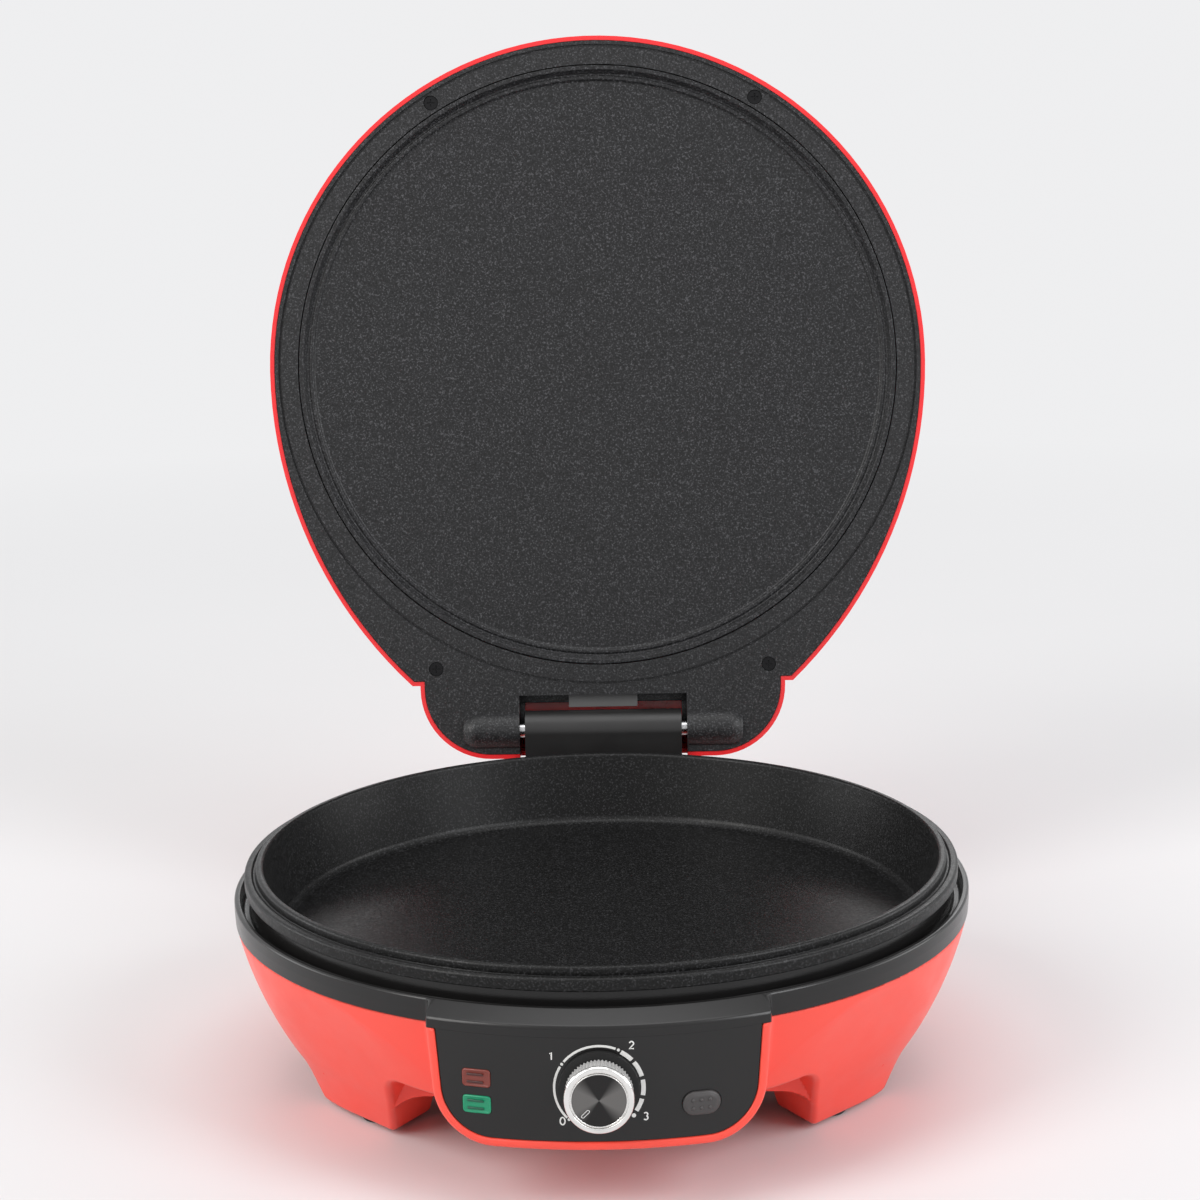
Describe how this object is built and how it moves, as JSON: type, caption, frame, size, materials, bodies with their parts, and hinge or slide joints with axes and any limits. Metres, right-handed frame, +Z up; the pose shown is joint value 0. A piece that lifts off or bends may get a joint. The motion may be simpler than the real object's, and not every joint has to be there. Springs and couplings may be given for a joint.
{
  "type": "electric pizza maker",
  "caption": "Round countertop pizza maker: deep non-stick pan in a footed base with dial, lamps and push button, and a domed lid with its own heated plate on a rear hinge, shown open.",
  "frame": {"origin": "on the table, under the middle of the whole object's box with the lid open", "axes": "+X to the user's right along the hinge axis, +Y from the panel to the hinge, +Z up"},
  "size_m": [0.35, 0.5129, 0.4764],
  "materials": {
    "red_housing": "satin moulded",
    "red_lid": "gloss",
    "black_gloss": "gloss",
    "nonstick": "fine speckled non-stick coating",
    "speckled_black": "fine grain",
    "steel": "plated",
    "heater_steel": "heat-darkened",
    "bright_sheet": "bright sheet",
    "black_steel": "blackened",
    "cream_plastic": "matte",
    "knob_silver": "metallized, ribbed",
    "knob_chrome": "bright",
    "knob_face": "dark, spun",
    "black_matte": "matte",
    "red_lens": "translucent moulded",
    "green_lens": "translucent moulded",
    "lamp_red": "clear",
    "lamp_green": "clear",
    "board_green": "solder mask",
    "grey_button": "fine grain",
    "rubber": "matte",
    "black_satin": "satin",
    "brass": "plain",
    "grey_tab": "satin"
  },
  "bodies": {
    "base": {"base_housing": "red_housing", "base_ring": "black_gloss", "control_panel": "black_gloss", "pan": "nonstick", "pan_lug": "steel", "lower_heater": "heater_steel", "heater_clips": "steel", "lower_reflector": "bright_sheet", "reflector_screws": "steel", "thermostat_body": "cream_plastic", "knob_collar": "black_matte", "power_lens": "red_lens", "ready_lens": "green_lens", "power_lamp": "lamp_red", "ready_lamp": "lamp_green", "lamp_board": "board_green", "button_spring": "steel", "spring_seat": "black_matte", "terminal_block": "cream_plastic", "thermal_fuse": "bright_sheet", "bottom_cover": "black_matte", "cover_screws": "black_steel", "rubber_feet": "rubber", "cord_gland": "rubber", "hinge_block": "black_satin", "hinge_pin": "steel", "hinge_screws": "steel"},
    "lid": {"hinge_bushes": "brass", "lid_shell": "red_lid", "lid_frame": "speckled_black", "lid_screws": "black_steel", "hinge_tab": "grey_tab", "upper_plate": "nonstick", "plate_clips": "steel", "clip_screws": "steel", "upper_heater": "heater_steel", "upper_heater_clips": "steel", "upper_reflector": "bright_sheet", "upper_fuse": "bright_sheet", "lid_grip": "black_satin", "grip_screws": "steel"},
    "knob": {"thermostat_shaft": "steel", "knob": "knob_silver", "knob_ring": "knob_chrome", "knob_cap": "knob_face"},
    "button": {"release_button": "grey_button", "pan_latch": "steel"}
  },
  "joints": [
    {"name": "lid_hinge", "type": "hinge", "parent": "base", "child": "lid", "pos_m": [0, 0.1366, 0.1115], "axis": [1, 0, 0], "range_deg": [0, 100]},
    {"name": "knob_turn", "type": "hinge", "parent": "base", "child": "knob", "pos_m": [0, -0.2424, 0.06], "axis": [0, 1, 0], "range_deg": [0, 270]},
    {"name": "button_push", "type": "slide", "parent": "base", "child": "button", "axis": [0, 1, 0], "range_m": [0, 0.0025], "stiffness_N_per_m": 600, "springref_m": -0.001, "deforming": ["button_spring"]}
  ]
}
